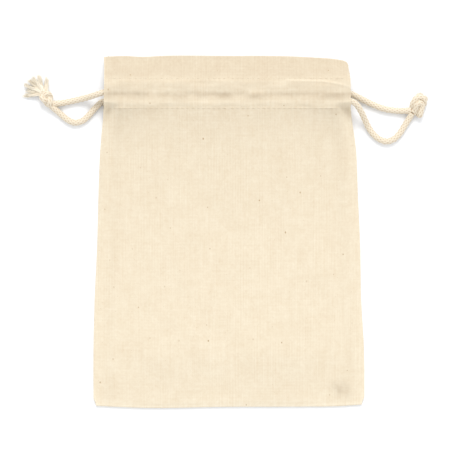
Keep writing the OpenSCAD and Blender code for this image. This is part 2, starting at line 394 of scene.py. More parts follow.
def corner_lift(x, y, side):
    """How far the back rises at the top of each side seam, to meet the front there."""
    below = np.exp(-((np.minimum(y - join_y, 0) / 7) ** 2))
    inward = np.exp(-((from_edge(x, y, side) / 4.0) ** 2))
    return 1.9 * inward * below * (1 - smoothstep(join_y, join_y + 2.4, y))


def back_outer_z(x, y, side):
    """Height of the outer layer of the back, which lies on the table and rises at the stitch rows."""
    rows = bump_at(y, join_y, 0.7) + bump_at(y, stitch_upper_y, 0.7)
    return 0.21 + 0.36 * rows + corner_lift(x, y, side)


def back_facing_z(x, y, side):
    """Height of the inner layer of the back casing, over the cords."""
    tunnel = smoothstep(70.5, 73, y) * (1 - smoothstep(79.5, 82.5, y))
    arch = back_profile(y) + tunnel * 0.2 * np.abs(noise(x, y, 20, 7, 4))
    return np.maximum(arch, back_outer_z(x, y, side) + 0.45)


# ------------------------ how dark the cloth is
#
# Each of these says how much darker the cloth is drawn: for the layers close under it, a smudge, random
# blotches, and painted shade and painted light for how light falls on its folds, valley, edges and crease. 0
# is one clean layer and 1 is two.

# Along the casing, row by row: its layers of cloth, with painted shade deepest in the valley between the two
# cords, painted light on the ridges over them, and darker again over the header.
casing_tone = smooth_through([
    (68.5, 0.3), (70, 0.3), (71.5, 0.05), (72.5, 0.35), (73.5, 0.85), (74.5, 1.25), (75.6, 1.5),
    (76.8, 1.4), (78, 0.7), (79.2, 0.55), (80.5, 0.7), (82, 0.85), (84, 0.95), (85.2, 1.2), (87, 1.5),
    (90, 1.58), (94, 1.42), (98, 1.0),
])


# Random lighter and darker blotches over the casing and the very top of the body.
def casing_blotches(x, y):
    return 0.34 * noise(x, y, 34, 8, 3.2) * bump_at(y, 77, 9)


def casing_layers_and_shade(x, y, side):
    uneven_valley_shade = 0.75 * noise(x, 0, 31, 6.5) + 0.45 * noise(x, 0, 32, 2.4)
    # Painted shade in the valley between the two cords, uneven along it.
    valley = bump_at(y, 76.7 + 0.7 * noise(x, 0, 33, 12), 1.35) * uneven_valley_shade
    # Painted light: the drawn-down corners and the side edges are drawn lighter.
    painted_light_at_edges = 0.6 * drawn_corner(x, y, side) + 0.5 * np.exp(-from_edge(x, y, side) / 1.6)
    # Along the pressed crease the cloth is drawn lighter, a painted highlight.
    return casing_tone(y) + 0.7 * valley + casing_blotches(x, y) - 0.75 * crease(x, y) - painted_light_at_edges


def body_layers_and_shade(x, y, side):
    from_side = from_edge(x, y, side)
    smudge = 1.15 * bump_at(x + 0.35 * (y + 89), 63.0, 4.8) * bump_at(y, -88.6, 4.2)
    smudge = smudge * (1 + 0.5 * noise(x, y, 35, 2.6))
    band = 0.12 * bump_at(from_side, 9, 3)
    corner = drawn_corner(x, np.maximum(y, join_y), side) * np.exp(-(join_y - y) / 7)
    # Painted light: the side edges, the drawn-down corners and the bottom fold are drawn lighter.
    painted_light_at_edges = 0.5 * np.exp(-from_side / 1.5) + 1.6 * np.exp(-(y - low_y) / 1.8)
    painted_light_at_edges += 0.6 * np.exp(-from_side / 2.2) * smoothstep(15, 60, y) + 0.5 * corner
    # Painted shade: darker up the body, and most of all just under the casing.
    rise = 0.2 * smoothstep(-70, 40, y) + 0.22 * np.exp((y - join_y) / 22)
    return rise + smudge + band + casing_blotches(x, y) - painted_light_at_edges


# ------------------------ casing cloth

HEM_Y = 66.6
OPENING_X = 60.8
OPENING_LOW_Y, OPENING_HIGH_Y = 70.4, 83.4


def rows_between(start, end, step):
    return np.linspace(start, end, int(round(abs(end - start) / step)) + 1)


def casing_half(name, side, front):
    """One half of a casing: the outer layer from the lower stitch row up to the mouth, the fold there, and
    the inner layer back down to its hem, cut away at the side where the cords come out."""
    outer = rows_between(join_y, top_y - fold_r, 0.42)
    turn = np.linspace(0, math.pi, 9)[1:-1]
    inner = rows_between(top_y - fold_r, HEM_Y, 0.75)
    u = np.linspace(0, 1, 108)
    points, weave = [], []

    def add_row(y, z_of, shift, along):
        x = side * u * side_edge[side](y)
        flat = np.full_like(x, y)
        points.append(np.stack([x, at_mouth(x, flat) + shift, z_of(x, flat)], axis=1))
        weave.append(np.stack([x, np.full_like(x, along), casing_layers_and_shade(x, flat, side)], axis=1))

    outer_z, inner_z = (front_outer_z, front_facing_z) if front else (back_outer_z, back_facing_z)

    def outside(x, y):
        return outer_z(x, y, side)

    def inside(x, y):
        return inner_z(x, y, side)

    for y in outer:
        add_row(y, outside, 0, y)
    for angle in turn:
        share = (1 - math.cos(angle)) / 2
        add_row(
            outer[-1], lambda x, y: outside(x, y) * (1 - share) + inside(x, y) * share,
            fold_r * math.sin(angle), outer[-1] + fold_r * angle,
        )
    for y in inner:
        add_row(y, inside, 0, 2 * top_y - y)
    points, weave = np.array(points), np.array(weave)
    row_y = points[:-1, :-1, 1]
    on_inner = np.arange(len(points) - 1)[:, None] >= len(outer) + len(turn)
    by_side = np.abs(points[:-1, 1:, 0]) > OPENING_X
    kept = ~(on_inner & by_side & (row_y > OPENING_LOW_Y) & (row_y < OPENING_HIGH_Y))
    return cloth_shell(name, points, side if front else -side, weave, kept)


# ------------------------ body

# Height of a side seam, width of its turned-in edge, radius of the bend and depth of the bottom fold
seam_z = 1.52
allowance_w = 7.0
hairpin = 0.26
fold_depth = 0.62
BACK_ALLOWANCE_Z, FRONT_ALLOWANCE_Z = 0.65, 1.07


def side_rise(d):
    """How far the front has risen, from 0 to 1, at a distance in from the side."""
    return 0.42 * (1 - np.exp(-d / 1.3)) + 0.58 * smoothstep(3, 42, d)


def bottom_rise(d):
    """The same, at a distance up from the bottom."""
    return 0.42 * (1 - np.exp(-d / 1.4)) + 0.58 * smoothstep(3, 32, d)


def body_rise(x, y, side):
    """Height of the front of the body, before it is drawn up to meet the casing."""
    d = np.maximum(from_edge(x, y, side), 0)
    b = np.maximum(y - low_y - 0.4, 0)
    near_casing = np.exp(-((join_y - y) / 14))
    share = side_rise(d) * (1 - near_casing) + (1 - np.exp(-d / 2.6)) * near_casing
    height = 4.4 + 8.3 * np.exp(-(join_y - y) / 34)
    inland = (1 - np.exp(-d / 6)) * (1 - np.exp(-b / 7))
    wrinkles = 0.42 * noise(x, y, 21, 34, 46) + 0.2 * noise(x + 0.3 * y, y, 22, 15, 24)
    wrinkles = wrinkles + 0.07 * noise(x, y, 23, 6, 8)
    wide_pleats = 0.3 * noise(x, y, 24, 4.2, 60) * np.exp(-(join_y - y) / 13)
    fine_pleats = 0.14 * noise(x, y, 25, 2.6, 30) * np.exp(-(join_y - y) / 5)
    folds = wrinkles + (wide_pleats + fine_pleats)
    return seam_z + (height - seam_z) * share * bottom_rise(b) + inland * folds


def front_body_z(x, y, side):
    """Height of the front of the body, which meets the casing at the lower stitch row."""
    top = np.full_like(x, join_y)
    x_top = x * side_edge[side](join_y) / side_edge[side](y)
    gap = front_outer_z(x_top, top, side) - body_rise(x_top, top, side)
    return body_rise(x, y, side) + gap * np.exp(-(((join_y - y) / 7) ** 1.3))


def body_half(name, side):
    """One half of the body as one cloth: the front, the fold along the bottom and the back, with the edge
    turned in round the side seam."""
    low = low_y + 0.55
    front = np.concatenate([rows_between(join_y, join_y - 10, 0.5), rows_between(join_y - 11, low, 1.05)])
    turn = np.linspace(0, math.pi, 9)[1:-1]
    back = rows_between(low, join_y, 2.0)
    u = 1 - (1 - np.linspace(0, 1, 78)) ** 1.12
    bends = np.linspace(0, math.pi, 7)[1:]
    inward = np.linspace(0, allowance_w, 8)[1:]
    points, weave = [], []

    def add_row(y, y_shift, along, z_of, lift):
        corner = 1.3 * (1 - smoothstep(0, 3.8, y - low))
        edge = side_edge[side](y) - hairpin - corner
        x = u * edge
        z = z_of(side * x, np.full_like(x, y))
        end_z = z[-1]
        place = at_bottom(side * x, np.full_like(x, y)) + y_shift
        row = [np.stack([side * x, place, z], axis=1)]
        layers = body_layers_and_shade(side * x, np.full_like(x, y), side)
        flat = [np.stack([side * x, np.full_like(x, along), layers], axis=1)]

        def add_beyond(x, z, flat_x):
            row.append(np.stack([x, np.full_like(x, place[-1]), z], axis=1))
            flat.append(np.stack([flat_x, np.full_like(x, along), np.full_like(x, layers[-1])], axis=1))

        bend_z = end_z + lift * hairpin * (1 - np.cos(bends))
        add_beyond(side * (edge + hairpin * np.sin(bends)), bend_z, side * (edge + hairpin * bends))
        rest_z = BACK_ALLOWANCE_Z if lift > 0 else FRONT_ALLOWANCE_Z
        settle = (bend_z[-1] - rest_z) * smoothstep(0, 5, inward)
        in_flat = side * (edge + hairpin * math.pi + inward)
        add_beyond(side * (edge - inward), bend_z[-1] - settle, in_flat)
        points.append(np.concatenate(row))
        weave.append(np.concatenate(flat))

    def front_z(x, y):
        return front_body_z(x, y, side)

    def back_z(x, y):
        return back_outer_z(x, y, side)

    for y in front:
        add_row(y, 0, y, front_z, -1)
    for angle in turn:
        share = (1 - math.cos(angle)) / 2
        add_row(
            low, -fold_depth * math.sin(angle), low - 0.64 * angle,
            lambda x, y: front_z(x, y) * (1 - share) + back_z(x, y) * share, 2 * share - 1,
        )
    for y in back:
        add_row(y, 0, 2 * low - y - 2, back_z, 1)
    points, weave = np.array(points), np.array(weave)
    kept = np.ones((points.shape[0] - 1, points.shape[1] - 1), bool)
    nominal = np.concatenate([front, np.full(len(turn), low), back])
    row_low = np.minimum(nominal[:-1], nominal[1:])
    # The turned-in edge stops short of the bottom fold
    kept[row_low < low + 7, len(u) - 1 + len(bends):] = False
    return cloth_shell(name, points, side, weave, kept)


sack_cloth = {}
for word, side in SIDES.items():
    sack_cloth[f"sack_body_{word}"] = body_half(f"sack_body_{word}", side)
    sack_cloth[f"front_casing_{word}"] = casing_half(f"front_casing_{word}", side, True)
    sack_cloth[f"back_casing_{word}"] = casing_half(f"back_casing_{word}", side, False)


# ------------------------ turned-in side edges of the headers

def side_hem(name, side, front):
    """The cloth turned in at the side of a header, between its layers, with a slightly uneven raw edge."""
    width, count = 6.8, 18
    points, weave = [], []
    for y in rows_between(84.9, 97.2, 0.8):
        edge = side_edge[side](y) - 0.5
        x = np.linspace(edge - width, edge, count) * side
        flat = np.full_like(x, y)
        z = front_facing_z(x, flat, side) - LAYER_GAP if front else back_facing_z(x, flat, side) + LAYER_GAP
        raw = 0.12 * noise(y, side * 3.0, 26, 1.7)
        x = np.where(np.arange(count) == 0, x + side * raw, x)
        points.append(np.stack([x, at_mouth(x, flat), z], axis=1))
        weave.append(np.stack([x, flat, np.ones_like(x)], axis=1))
    return cloth_shell(name, np.array(points), side if front else -side, np.array(weave))


for word, side in SIDES.items():
    for face, front in (("front", True), ("back", False)):
        name = f"{face}_{word}_hem"
        sack_cloth[name] = side_hem(name, side, front)


# ------------------------ stitching

THREAD_R = 0.17
STITCH_LENGTH = 2.1
FIRST_STITCH_X = 1.2


def stitch_row(name, side, row_y, surface, inside_out):
    """Half a row of lockstitch that lies in its groove on a casing. surface gives the cloth's outer face."""
    paths, radii = [], []
    turn = np.linspace(0, 1, 9)
    arch = np.sin(math.pi * turn)
    last = side_edge[side](row_y) - 1.6
    x0 = FIRST_STITCH_X
    while x0 + STITCH_LENGTH < last:
        x = side * (x0 + STITCH_LENGTH * turn)
        y = row_y + 0.1 * noise(x0, row_y, 27, 2.3) + 0.05 * (turn - 0.5)
        proud = THREAD_R * (1.55 * arch - 0.6)
        z = surface(x, np.full_like(x, row_y)) + (-1 if inside_out else 1) * proud
        paths.append(np.stack([x, y, z], axis=1))
        radii.append(THREAD_R * (0.75 + 0.25 * arch))
        x0 += stitch_pitch
    return bundle(name, paths, radii, 8)


def seam_thread(name, side, inset, slant, rise):
    """Stitches on the seam allowance, inside the sack."""
    paths, radii = [], []
    turn = np.linspace(0, 1, 7)
    arch = np.sin(math.pi * turn)
    for y0 in np.arange(low_y + 14, join_y - 5, 3.0):
        edge = side_edge[side](y0)
        y = y0 + 2.3 * turn
        x = side * (edge - inset + slant * (turn - 0.5))
        paths.append(np.stack([x, at_bottom(x, y), rise + THREAD_R * (1.4 * arch - 0.4)], axis=1))
        radii.append(THREAD_R * (0.75 + 0.25 * arch))
    return bundle(name, paths, radii, 6)


def casing_stitches(word, side):
    """The rows through both casings, as seen on the front, inside the sack and under it."""
    half_cloth = cloth_t / 2
    faces = {
        "front": lambda x, y: front_outer_z(x, y, side) + half_cloth,
        "back": lambda x, y: back_facing_z(x, y, side) + half_cloth,
        "under": lambda x, y: back_outer_z(x, y, side) - half_cloth,
    }
    found = {}
    for place, row_y in (("upper", stitch_upper_y), ("lower", join_y + 0.15)):
        for face, surface in faces.items():
            name = f"{face}_{place}_stitches_{word}"
            found[name] = stitch_row(name, side, row_y, surface, face == "under")
    return found


thread = {}
for word, side in SIDES.items():
    thread.update(casing_stitches(word, side))
    thread[f"seam_stitches_{word}"] = seam_thread(f"seam_stitches_{word}", side, 2.6, 0.0, 1.42)
    thread[f"overlock_{word}"] = seam_thread(f"overlock_{word}", side, 5.6, 1.9, 1.42)


# ------------------------ braided cord

STRANDS = 6
STRAND_SLIMNESS = 1.84
CROSSING_RISE = 0.42
BRAID_PITCH = 16.5
BRAID_CORE = 1.3
BRAID_RELIEF = 0.33
CORD_SIDES = 48
CORD_STEP = 0.28


def braid_rings(path):
    """Points round a path, raised into strands that pass over and under one another, with how deep each
    point lies between strands and the direction in which its strand runs."""
    _, first, second = frames_along(path)
    run = np.concatenate([[0], np.cumsum(np.linalg.norm(np.diff(path, axis=0), axis=1))])[:, None]
    theta = 2 * math.pi * np.arange(CORD_SIDES)[None, :] / CORD_SIDES
    a = STRANDS * (theta / (2 * math.pi) + run / BRAID_PITCH)
    b = STRANDS * (theta / (2 * math.pi) - run / BRAID_PITCH)
    over = CROSSING_RISE * (np.cos(math.pi * a) * np.cos(math.pi * b))
    one = np.sqrt(np.maximum(0, 1 - (STRAND_SLIMNESS * (a - np.round(a))) ** 2))
    two = np.sqrt(np.maximum(0, 1 - (STRAND_SLIMNESS * (b - np.round(b))) ** 2))
    height = np.maximum(one + over, two - over)
    radius = BRAID_CORE + BRAID_RELIEF * height
    places = (
        path[:, None]
        + first[:, None] * (radius * np.cos(theta))[:, :, None]
        + second[:, None] * (radius * np.sin(theta))[:, :, None]
    )
    # How deep a point lies between strands; the cord's material paints shade there.
    depth = smoothstep(0, 1, (1.66 - one - two) / 0.75) + 0.16 * np.clip(1.1 - height, 0, 1)
    on_one = one + over > two - over
    across = np.where(on_one, a, b)
    lengthwise = np.where(on_one, b, -a)
    yarn = np.stack([across, lengthwise, depth], axis=2)
    return places.reshape(-1, 3), yarn.reshape(-1, 3)


def braided(name, paths):
    """Lengths of the braid as one mesh."""
    places, yarns, faces = [], [], []
    for path in paths:
        rings, yarn = braid_rings(path)
        faces += ring_faces(len(path), CORD_SIDES, sum(map(len, places)))
        places.append(rings)
        yarns.append(yarn)
    return mesh_from(name, np.concatenate(places), faces, [("yarn", np.concatenate(yarns))])


LEFT_ROUTE = [
    [-99, 71.6, 3.4], [-94.5, 71.8, 2.1], [-90, 72.6, 1.8], [-85.5, 73.6, 2],
    [-81, 74.6, 3.2], [-77.5, 75.4, 5.6], [-74.2, 76.3, 8.6], [-70.5, 77.4, 11],
    [-65.5, 78.8, 11.7], [-60, 79.6, 11.75],
    [-36, 79.6, 11.75], [-12, 79.6, 11.75], [12, 79.6, 11.75], [36, 79.6, 11.75],
    [60.2, 79.6, 11.75],
    [63.1, 79.1, 11.1], [65.2, 77.9, 9.4], [66, 76.2, 7.1], [65.2, 74.5, 4.8],
    [63.1, 73.3, 3.1], [60.2, 72.8, 2.45],
    [36, 72.8, 2.45], [12, 72.8, 2.45], [-12, 72.8, 2.45], [-36, 72.8, 2.45],
    [-60, 72.8, 2.45], [-66, 73.2, 2.4],
    [-70.5, 72.6, 2.2], [-75, 68.7, 1.9], [-78.5, 64.7, 1.8], [-82, 61.9, 1.8],
    [-86, 61, 1.8], [-90, 62.6, 1.8], [-95, 66.8, 2], [-99.5, 70.6, 3.2],
]
RIGHT_ROUTE = [
    [102.8, 66.4, 3.2], [100.7, 62.8, 2.1], [98, 58.4, 1.8], [95.4, 54.5, 1.8],
    [92, 51.5, 1.8], [88.2, 50.5, 1.8], [84.4, 51.8, 1.8], [81, 54.6, 1.9],
    [78.2, 58.6, 2.6], [76.2, 62.6, 4.6], [74.3, 66.4, 7.4], [72, 70, 10],
    [69.2, 72.4, 11.5], [64.5, 72.8, 11.75],
    [36, 72.8, 11.75], [12, 72.8, 11.75], [-12, 72.8, 11.75], [-36, 72.8, 11.75],
    [-61.2, 72.8, 11.75],
    [-64.1, 73.3, 11.1], [-66.2, 74.5, 9.4], [-67, 76.2, 7.1], [-66.2, 77.9, 4.8],
    [-64.1, 79.1, 3.1], [-61.2, 79.6, 2.45],
    [-36, 79.6, 2.45], [-12, 79.6, 2.45], [12, 79.6, 2.45], [36, 79.6, 2.45],
    [59, 79.6, 2.45], [64.8, 78.6, 2.4],
    [69.8, 76.5, 2.3], [75, 74, 2], [81.3, 70.9, 1.8], [87.8, 68.6, 1.8],
    [94.4, 67.7, 1.8], [99.2, 67.6, 2.4], [102.6, 68, 3.4],
]
cord_line = {
    "left": evenly(spline(LEFT_ROUTE, 0.2), CORD_STEP),
    "right": evenly(spline(RIGHT_ROUTE, 0.2), CORD_STEP),
}
drawcord = {word: braided(f"{word}_cord_braid", [line]) for word, line in cord_line.items()}


# ------------------------ knots and cord ends

def overhand(middle, heading, long_r, short_r, rise, spin):
    """The line of cord in a tight overhand knot, as a closed three-lobed loop. heading is the direction of
    its long side and spin the turn of its lobes, both in degrees."""
    t = np.linspace(0, 2 * math.pi, 400) + math.pi / 6
    u = (np.sin(t) + 2 * np.sin(2 * t)) / 3
    v = (np.cos(t) - 2 * np.cos(2 * t)) / 3
    turn = math.radians(spin)
    u, v = u * math.cos(turn) - v * math.sin(turn), u * math.sin(turn) + v * math.cos(turn)
    u, v = u * long_r, v * short_r
    turn = math.radians(heading)
    x = middle[0] + u * math.cos(turn) - v * math.sin(turn)
    y = middle[1] + u * math.sin(turn) + v * math.cos(turn)
    return evenly(np.stack([x, y, middle[2] - rise * np.sin(3 * t)], axis=1), CORD_STEP)


left_knot_paths = [
    overhand([-101.6, 74.5, 3.5], 118, 3.7, 2.25, 1.45, 20),
    spline([[-99.2, 71.4, 3.3], [-100.6, 73.0, 3.8], [-102.2, 75.6, 3.8], [-103.2, 78.2, 3.6]], 0.33),
]
right_knot_paths = [
    spline(
        [[103.8, 67.4, 1.9], [102.9, 69.4, 3.0], [103.3, 72.0, 4.9], [105.0, 74.5, 5.6], [107.4, 75.1, 5.0],
         [109.1, 73.6, 3.8], [109.0, 71.3, 2.4], [107.2, 69.8, 1.9]],
        CORD_STEP,
    ),
    spline(
        [[104.4, 66.2, 2.6], [104.6, 68.6, 4.6], [105.4, 71.0, 5.9], [107.0, 71.9, 5.9], [108.0, 70.2, 4.9],
         [107.5, 67.6, 4.2], [107.0, 65.3, 3.3], [106.2, 66.0, 1.8], [105.8, 68.6, 1.8]],
        CORD_STEP,
    ),
    spline([[102.9, 66.6, 3.4], [104.2, 68.4, 3.4], [105.6, 70.6, 3.4], [106.0, 73.0, 3.4]], CORD_STEP),
]
left_knot = braided("left_cord_knot", left_knot_paths)
right_knot = braided("right_cord_knot", right_knot_paths)


LOCK_EVERY = 16


def fibres(name, tufts, seed):
    """Loose cotton fibres, with a thicker lock among every few. Each tuft is (root, its radius, tips,
    their spread, how many fibres, waviness)."""
    rng = np.random.default_rng(seed)
    paths, radii, tints = [], [], []
    t = np.linspace(0, 1, 11)[:, None]
    for root, root_r, tips, tip_r, count, wave in tufts:
        tips = np.array(tips, float)
        for k in range(count):
            lock = k % LOCK_EVERY == 0
            share = rng.dirichlet(np.full(len(tips), 0.55))
            a = np.array(root) + unit(rng.normal(size=3)) * root_r * rng.uniform(0, 1) ** 0.5
            b = share @ tips + rng.normal(size=3) * tip_r
            reach = rng.uniform(0.74, 1.05)
            line = a + (b - a) * t * reach
            side_way = unit(np.cross(b - a, rng.normal(size=3)))
            other_way = unit(np.cross(b - a, side_way))
            swing = wave * rng.uniform(0.3, 1)
            phase = rng.uniform(0, 6.28)
            line = line + side_way * swing * np.sin(t * rng.uniform(1.5, 5) + phase) * t
            line = line + other_way * swing * 0.6 * np.sin(t * rng.uniform(3, 8) + phase * 2) * t
            line[:, 2] = np.maximum(line[:, 2], 0.25)
            paths.append(line)
            thick, taper = (5.0, 0.85) if lock else (1.0, 0.55)
            radii.append(rng.uniform(0.07, 0.13) * thick * (1 - taper * t[:, 0] ** 2))
            tints.append(rng.uniform(0, 1))
    return bundle(name, paths, radii, 4, tints)


LEFT_TUFTS = [
    ([-102.6, 77.6, 3.6], 1.3, [[-102.0, 86.4, 1.8], [-101.3, 85.2, 3.0]], 0.4, 120, 0.6),
    ([-102.0, 77.4, 3.6], 1.1, [[-100.8, 82.2, 2.2], [-101.4, 83.4, 3.4]], 0.4, 60, 0.6),
    ([-103.2, 77.8, 3.7], 1.3, [[-105.2, 88.0, 1.8], [-106.8, 87.6, 3.2], [-105.6, 85.4, 3.6]],
     0.4, 180, 0.7),
    ([-103.6, 77.8, 3.7], 1.2, [[-109.0, 86.9, 1.8], [-109.8, 86.0, 3.2]], 0.4, 110, 0.7),
    ([-103.8, 77.6, 3.7], 1.3, [[-111.2, 85.4, 1.6], [-112.4, 84.6, 2.6]], 0.35, 110, 0.8),
    ([-104.0, 77.4, 3.6], 1.3, [[-114.4, 82.9, 1.2], [-113.8, 81.8, 2.6]], 0.35, 130, 0.8),
    ([-103.8, 77.6, 3.8], 1.2, [[-107.2, 83.6, 2.8], [-110.0, 81.4, 2.4], [-109.4, 79.6, 2.2]],
     0.5, 100, 0.7),
    ([-104.0, 77.0, 3.4], 1.1, [[-113.6, 79.4, 2.0], [-111.4, 78.4, 1.4]], 0.35, 90, 0.7),
    ([-103.8, 76.7, 3.3], 1.1, [[-115.4, 75.6, 0.8], [-114.4, 77.0, 1.6]], 0.35, 90, 0.7),
]
frayed_ends = fibres("left_cord_fray", LEFT_TUFTS, 41)

RIGHT_STUBS = [
    [[105.6, 72.0, 2.6], [106.0, 73.8, 3.0], [106.4, 75.0, 3.1]],
    [[106.8, 71.6, 2.2], [108.2, 72.8, 2.4], [109.3, 73.4, 2.6]],
]
RIGHT_TUFTS = [
    ([106.5, 74.8, 3.1], 1.5, [[105.2, 76.7, 3.0], [107.2, 77.5, 3.2], [108.6, 76.8, 2.2]], 0.45, 420, 0.25),
    ([109.0, 73.5, 2.7], 1.5, [[111.0, 74.4, 2.6], [109.9, 76.2, 2.8], [110.9, 72.8, 2.0]], 0.45, 420, 0.25),
]
trimmed_ends = braided("right_cord_stubs", [evenly(spline(stub, 0.2), CORD_STEP) for stub in RIGHT_STUBS])
trimmed_tips = fibres("right_cord_tips", RIGHT_TUFTS, 42)


# ------------------------ materials

class Nodes:
    """Builds a material's nodes. Numbers go into sockets as they are, and sockets are linked."""

    def __init__(self, name):
        self.material = bpy.data.materials.new(name)
        self.material.use_nodes = True
        self.tree = self.material.node_tree
        self.shader = self.tree.nodes["Principled BSDF"]

    def put(self, node, key, value):
        socket = node.inputs[key]
        if isinstance(value, bpy.types.NodeSocket):
            self.tree.links.new(value, socket)
        else:
            socket.default_value = value

    def math(self, operation, *values, clamp=False):
        node = self.tree.nodes.new("ShaderNodeMath")
        node.operation = operation
        node.use_clamp = clamp
        for k, value in enumerate(values):
            self.put(node, k, value)
        return node.outputs[0]

    def attribute(self, name):
        node = self.tree.nodes.new("ShaderNodeAttribute")
        node.attribute_name = name
        return node

    def split(self, vector):
        node = self.tree.nodes.new("ShaderNodeSeparateXYZ")
        self.put(node, 0, vector)
        return node.outputs

    def join(self, x, y, z=0.0):
        node = self.tree.nodes.new("ShaderNodeCombineXYZ")
        for k, value in enumerate((x, y, z)):
            self.put(node, k, value)
        return node.outputs[0]

    def noise(self, vector, scale=1.0, detail=2.0):
        node = self.tree.nodes.new("ShaderNodeTexNoise")
        self.put(node, "Vector", vector)
        self.put(node, "Scale", scale)
        self.put(node, "Detail", detail)
        return node.outputs[0]

    def spots(self, vector, scale):
        node = self.tree.nodes.new("ShaderNodeTexVoronoi")
        node.voronoi_dimensions = "2D"
        self.put(node, "Vector", vector)
        self.put(node, "Scale", scale)
        return node.outputs["Distance"], node.outputs["Color"]

    def remap(self, value, low, high, to_low=0.0, to_high=1.0):
        node = self.tree.nodes.new("ShaderNodeMapRange")
        for k, number in enumerate((value, low, high, to_low, to_high)):
            self.put(node, k, number)
        return node.outputs[0]

    def mix(self, factor, one, other, beyond=False):
        node = self.tree.nodes.new("ShaderNodeMix")
        node.data_type = "RGBA"
        node.clamp_factor = not beyond
        self.put(node, 0, factor)
        self.put(node, 6, one)
        self.put(node, 7, other)
        return node.outputs[2]

    def bump(self, height, distance, strength=1.0, under=None):
        node = self.tree.nodes.new("ShaderNodeBump")
        self.put(node, "Height", height)
        self.put(node, "Distance", distance)
        self.put(node, "Strength", strength)
        if under is not None:
            self.put(node, "Normal", under)
        return node.outputs[0]

    def finish(self, colour, normal, roughness, sheen):
        self.put(self.shader, "Base Color", colour)
        self.put(self.shader, "Normal", normal)
        self.put(self.shader, "Roughness", roughness)
        self.put(self.shader, "Sheen Weight", sheen)
        self.put(self.shader, "Sheen Roughness", 0.6)
        self.put(self.shader, "Specular IOR Level", 0.15)
        return self.material


# Millimetres from yarn to yarn, and from one reed mark to the next
WARP_PITCH = 0.52
WEFT_PITCH = 0.56
REED_PITCH = 1.5


def cloth_material():
    """Unbleached plain weave. The weave attribute holds millimetres across and along the cloth, and how
    dark it is."""
    n = Nodes("cotton_cloth")
    x, y, layers = n.split(n.attribute("weave").outputs["Vector"])
    flat = n.join(x, y)

    def stretched(across, along, z=0.0):
        return n.join(n.math("MULTIPLY", x, across), n.math("MULTIPLY", y, along), z)

    # Yarns wander a little, so that the weave isn't a perfect grid
    wander_x = n.math("MULTIPLY", n.noise(stretched(0.9, 0.05)), 0.5)
    wander_y = n.math("MULTIPLY", n.noise(stretched(0.05, 0.9, 7.0)), 0.5)
    warp_turn = n.math("MULTIPLY", n.math("ADD", x, wander_x), math.pi / WARP_PITCH)
    weft_turn = n.math("MULTIPLY", n.math("ADD", y, wander_y), math.pi / WEFT_PITCH)
    warp_wave, weft_wave = n.math("SINE", warp_turn), n.math("SINE", weft_turn)
    cross = n.math("MULTIPLY", n.math("MULTIPLY", warp_wave, weft_wave), 0.4)
    warp = n.math("ADD", n.math("MULTIPLY", n.math("ABSOLUTE", warp_wave), 0.6), cross)
    weft = n.math("SUBTRACT", n.math("MULTIPLY", n.math("ABSOLUTE", weft_wave), 0.6), cross)
    weave = n.math("MAXIMUM", warp, weft)

    # Thick and thin yarns, stronger up the cloth than across it
    warp_streak = n.math("SUBTRACT", n.noise(stretched(1.15, 0.035), 1.0, 3.0), 0.5)
    weft_streak = n.math("SUBTRACT", n.noise(stretched(0.04, 1.05, 3.0), 1.0, 3.0), 0.5)
    streaks = n.math("ADD", warp_streak, n.math("MULTIPLY", weft_streak, 0.6))

    # Unevenness of the cotton, from broad to fine, and painted shade between the yarns of the weave
    mottle = n.math("SUBTRACT", n.noise(flat, 0.085, 4.0), 0.5)
    patches = n.math("SUBTRACT", n.noise(flat, 0.26, 4.0), 0.5)
    fine = n.math("SUBTRACT", n.noise(flat, 0.7, 3.0), 0.5)
    # Painted shade: the crowns of the weave are drawn lighter than the gaps between yarns.
    uneven = n.math("SUBTRACT", weave, 0.45)

    # Reed marks: faint even lines up the cloth, that come and go
    reed = n.math("SINE", n.math("MULTIPLY", n.math("ADD", x, wander_x), 2 * math.pi / REED_PITCH))
    reed = n.math("MULTIPLY", reed, n.remap(n.noise(stretched(1.0, 0.6, 5.0), 0.06), 0.44, 0.64))

    share = 0.5
    weights = (
        (streaks, 0.48), (mottle, 0.35), (patches, 0.45), (fine, 0.55), (uneven, 0.22), (reed, 0.06),
    )
    for part, weight in weights:
        share = n.math("ADD", share, n.math("MULTIPLY", part, weight))
    single = n.mix(share, (0.652, 0.532, 0.374, 1), (0.804, 0.728, 0.582, 1))
    doubled = n.mix(share, (0.557, 0.446, 0.31, 1), (0.706, 0.628, 0.491, 1))
    # The darkness used here holds the layers of cloth and also painted shade and painted light from the
    # casing and body tones.
    cloth = n.mix(layers, single, doubled, beyond=True)

    # Flecks of seed and stalk, long in one direction
    distance, which = n.spots(stretched(1.0, 0.72), 0.05)
    chosen = n.split(which)
    size = n.remap(chosen[1], 0.0, 1.0, 0.011, 0.021)
    fleck = n.math("LESS_THAN", distance, size)
    fleck = n.math("MULTIPLY", fleck, n.math("GREATER_THAN", chosen[0], 0.15))
    fleck = n.math("MULTIPLY", fleck, n.remap(chosen[2], 0.0, 1.0, 0.25, 0.8))
    small_distance, small_which = n.spots(stretched(0.6, 1.0, 5.0), 0.19)
    small = n.math("LESS_THAN", small_distance, 0.026)
    small = n.math("MULTIPLY", small, n.math("GREATER_THAN", n.split(small_which)[0], 0.72))
    fleck = n.math("MAXIMUM", fleck, n.math("MULTIPLY", small, 0.35))
    colour = n.mix(fleck, cloth, (0.38, 0.25, 0.12, 1))

    soft = n.bump(n.math("ADD", streaks, fine), 0.00008, 0.6)
    normal = n.bump(weave, 0.00012, 0.55, soft)
    return n.finish(colour, normal, 0.92, 0.12)


